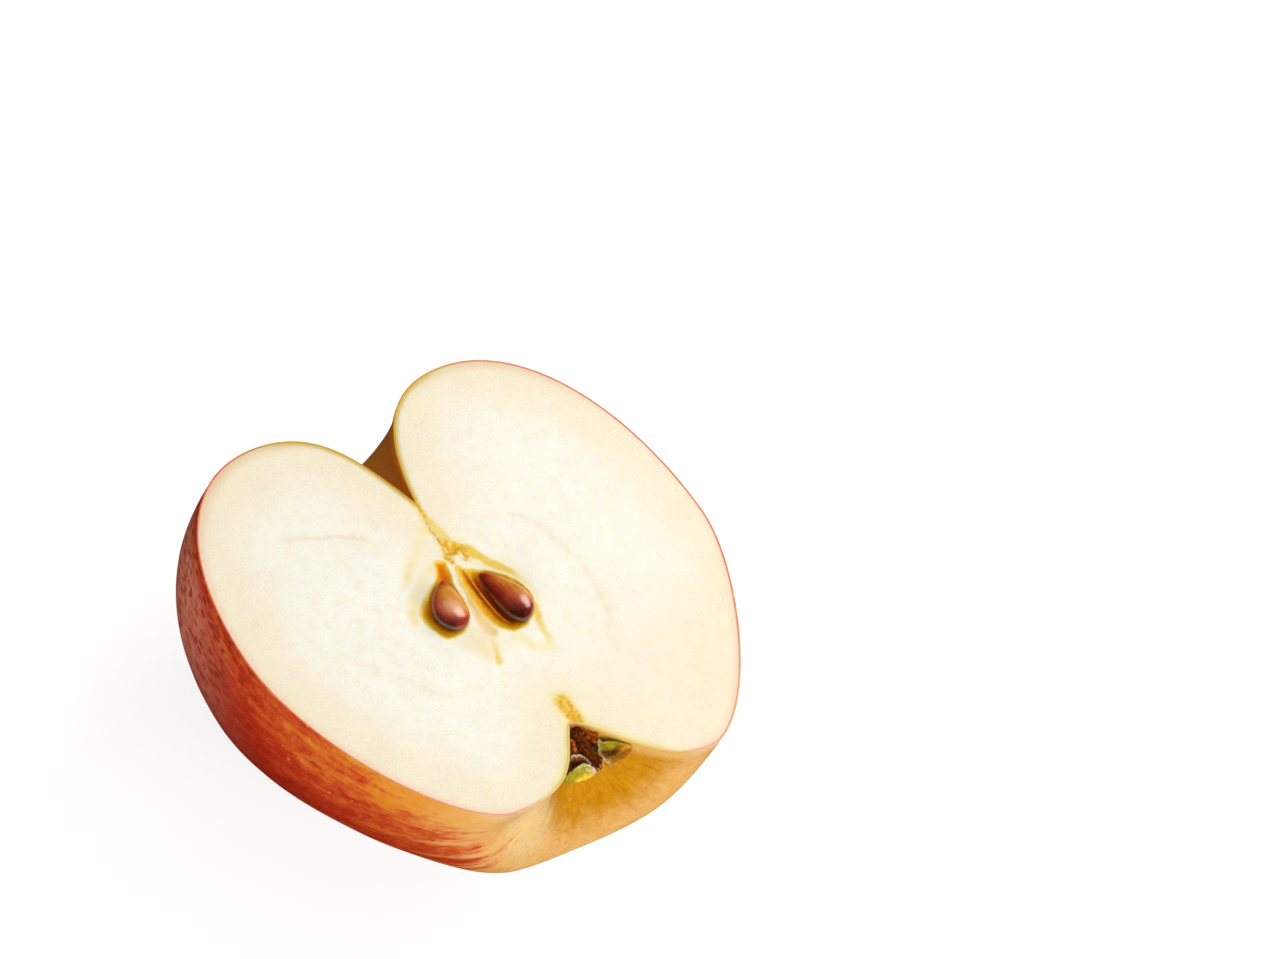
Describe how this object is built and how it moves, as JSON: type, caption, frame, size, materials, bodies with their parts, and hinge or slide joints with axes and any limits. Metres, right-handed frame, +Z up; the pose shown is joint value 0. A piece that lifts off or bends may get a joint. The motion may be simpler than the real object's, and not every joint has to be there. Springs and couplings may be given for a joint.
{
  "type": "apple half",
  "caption": "Ripe red and yellow apple cut lengthways through the core, lying on its round back with the cut face, seed pockets and pips up.",
  "frame": {"origin": "on the small flat spot under the round back, at the middle of the object's box", "axes": "+Z up, out of the level cut face; +Y along the core towards the stem end; +X to the right of the cut face, seen from above with the stem end away"},
  "size_m": [0.077, 0.0662, 0.0406],
  "materials": {
    "apple_skin": "waxy skin, red streaks over golden yellow",
    "apple_flesh": "moist, fine-grained cream flesh",
    "apple_pip": "smooth glossy red-brown seed coat",
    "calyx_leaf": "dry, matt, olive green and brown",
    "calyx_tuft": "dry, matt, very dark brown"
  },
  "bodies": {
    "root": {"apple_half": "apple_flesh", "pip_left": "apple_pip", "pip_right": "apple_pip", "sepal_left": "calyx_leaf", "sepal_right": "calyx_leaf", "sepal_back": "calyx_leaf", "stamens": "calyx_tuft"}
  },
  "joints": []
}
